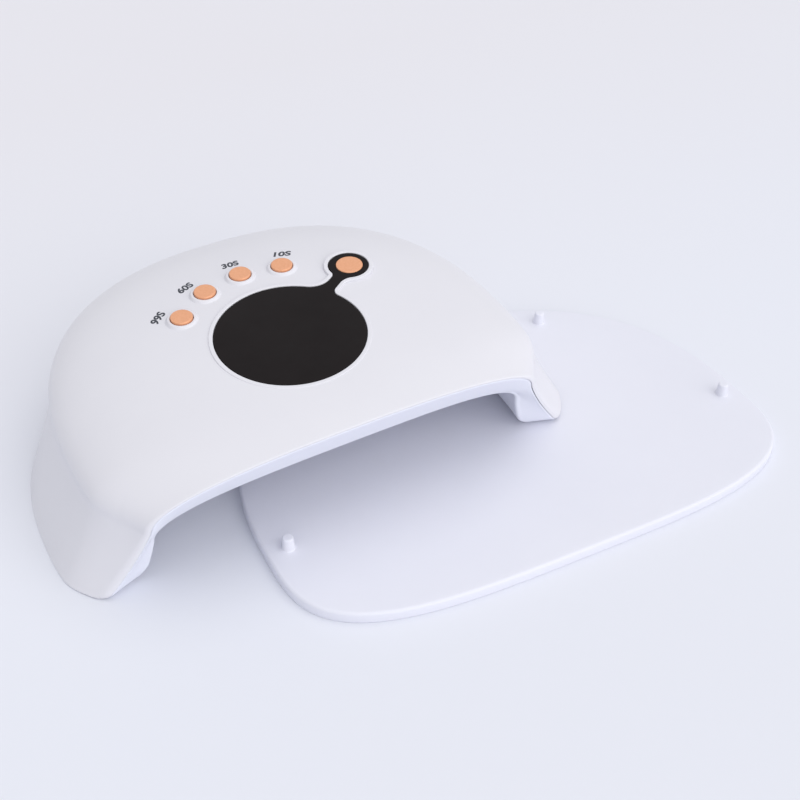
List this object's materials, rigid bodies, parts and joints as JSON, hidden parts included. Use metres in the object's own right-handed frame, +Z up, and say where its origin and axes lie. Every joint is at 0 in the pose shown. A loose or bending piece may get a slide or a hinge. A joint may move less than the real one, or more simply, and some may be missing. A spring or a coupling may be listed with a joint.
{
  "type": "led nail lamp",
  "caption": "Low arched nail curing lamp with a round display window, timer buttons and a lift-off D-shaped base plate with locating pegs.",
  "frame": {"origin": "middle of the base plate's underside, on the table", "axes": "+Z up, +X to the right of the plate, +Y to its rounded back; the straight front edge faces -Y"},
  "size_m": [0.3305, 0.2272, 0.0695],
  "materials": {
    "cover_plastic": "glossy white",
    "tray_plastic": "satin white",
    "plate_plastic": "satin white",
    "smoked_window": "glossy smoked black",
    "copper_cap": "brushed copper colour",
    "dark_plastic": "matte black",
    "board_laminate": "green circuit board",
    "board_aluminium": "white coated aluminium board",
    "ribbon_plastic": "pale flat cable",
    "screw_steel": "zinc plated",
    "lead_rubber": "matte black sheath"
  },
  "bodies": {
    "plate": {"base_plate": "plate_plastic"},
    "lamp": {"top_cover": "cover_plastic", "inner_tray": "tray_plastic", "display_lens": "smoked_window", "display_module": "dark_plastic", "control_board": "board_laminate", "switch_10s": "dark_plastic", "switch_30s": "dark_plastic", "switch_60s": "dark_plastic", "switch_99s": "dark_plastic", "switch_power": "dark_plastic", "led_board_top": "board_aluminium", "led_board_left": "board_aluminium", "led_board_right": "board_aluminium", "hand_sensor_sender": "dark_plastic", "hand_sensor_receiver": "dark_plastic", "board_ribbon": "ribbon_plastic", "dc_socket": "dark_plastic", "dc_socket_pin": "screw_steel", "supply_lead": "lead_rubber", "casing_screw_1": "screw_steel", "casing_screw_2": "screw_steel", "casing_screw_3": "screw_steel", "casing_screw_4": "screw_steel", "board_screw_1": "screw_steel", "board_screw_2": "screw_steel", "board_screw_3": "screw_steel", "board_screw_4": "screw_steel"},
    "cap_10s": {"button_10s": "copper_cap", "plunger_10s": "dark_plastic"},
    "cap_30s": {"button_30s": "copper_cap", "plunger_30s": "dark_plastic"},
    "cap_60s": {"button_60s": "copper_cap", "plunger_60s": "dark_plastic"},
    "cap_99s": {"button_99s": "copper_cap", "plunger_99s": "dark_plastic"},
    "cap_power": {"button_power": "copper_cap", "plunger_power": "dark_plastic"}
  },
  "joints": [
    {"name": "lamp_lift", "type": "slide", "parent": "plate", "child": "lamp", "axis": [0, 0, 1], "range_m": [0, 0.12]},
    {"name": "press_10s", "type": "slide", "parent": "lamp", "child": "cap_10s", "axis": [0.0242, 0.0708, -0.9972], "range_m": [0, 0.0005], "stiffness_N_per_m": 400, "springref_m": -0.001},
    {"name": "press_30s", "type": "slide", "parent": "lamp", "child": "cap_30s", "axis": [0.0242, 0.0708, -0.9972], "range_m": [0, 0.0005], "stiffness_N_per_m": 400, "springref_m": -0.001},
    {"name": "press_60s", "type": "slide", "parent": "lamp", "child": "cap_60s", "axis": [0.0242, 0.0708, -0.9972], "range_m": [0, 0.0005], "stiffness_N_per_m": 400, "springref_m": -0.001},
    {"name": "press_99s", "type": "slide", "parent": "lamp", "child": "cap_99s", "axis": [0.0242, 0.0708, -0.9972], "range_m": [0, 0.0005], "stiffness_N_per_m": 400, "springref_m": -0.001},
    {"name": "press_power", "type": "slide", "parent": "lamp", "child": "cap_power", "axis": [0.0242, 0.0708, -0.9972], "range_m": [0, 0.0005], "stiffness_N_per_m": 400, "springref_m": -0.001}
  ]
}
